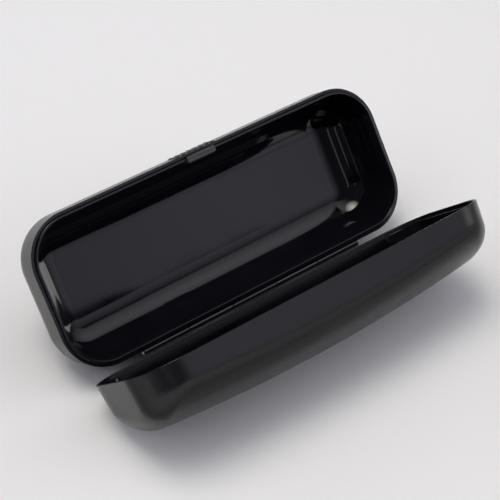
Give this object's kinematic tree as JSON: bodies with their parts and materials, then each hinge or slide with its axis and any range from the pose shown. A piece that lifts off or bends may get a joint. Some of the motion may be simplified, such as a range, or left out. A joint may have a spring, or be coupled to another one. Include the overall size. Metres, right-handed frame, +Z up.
{
  "type": "eyeglasses case",
  "caption": "Hinged hard case for spectacles, matte textured outside and glossy inside, open on its spine, with a snap latch.",
  "frame": {"origin": "on the ground under the middle of the case's footprint, with the case open and resting on its spine", "axes": "+X along the case, parallel to the hinge; +Y from the lid side to the base side; +Z up from the ground"},
  "size_m": [0.16, 0.1034, 0.0576],
  "materials": {
    "textured_plastic": "black, moulded against a fine spark-eroded texture",
    "polished_plastic": "black, moulded against a polished core, slightly wavy gloss",
    "pin_steel": "drawn steel wire",
    "tongue_plastic": "satin dark grey plastic"
  },
  "bodies": {
    "base": {"base_shell": "textured_plastic", "base_liner": "polished_plastic", "hinge_pin": "pin_steel"},
    "lid": {"lid_shell": "textured_plastic", "lid_liner": "polished_plastic"},
    "latch": {"latch_tongue": "tongue_plastic"}
  },
  "joints": [
    {"name": "lid_hinge", "type": "hinge", "parent": "base", "child": "lid", "pos_m": [0, 0.0003, 0.00811], "axis": [-1, 0, 0], "range_deg": [0, 82.5]},
    {"name": "latch_flex", "type": "hinge", "parent": "base", "child": "latch", "pos_m": [0, 0.04217, 0.05015], "axis": [1, 0, 0], "range_deg": [0, 4], "stiffness_Nm_per_rad": 0.05}
  ]
}
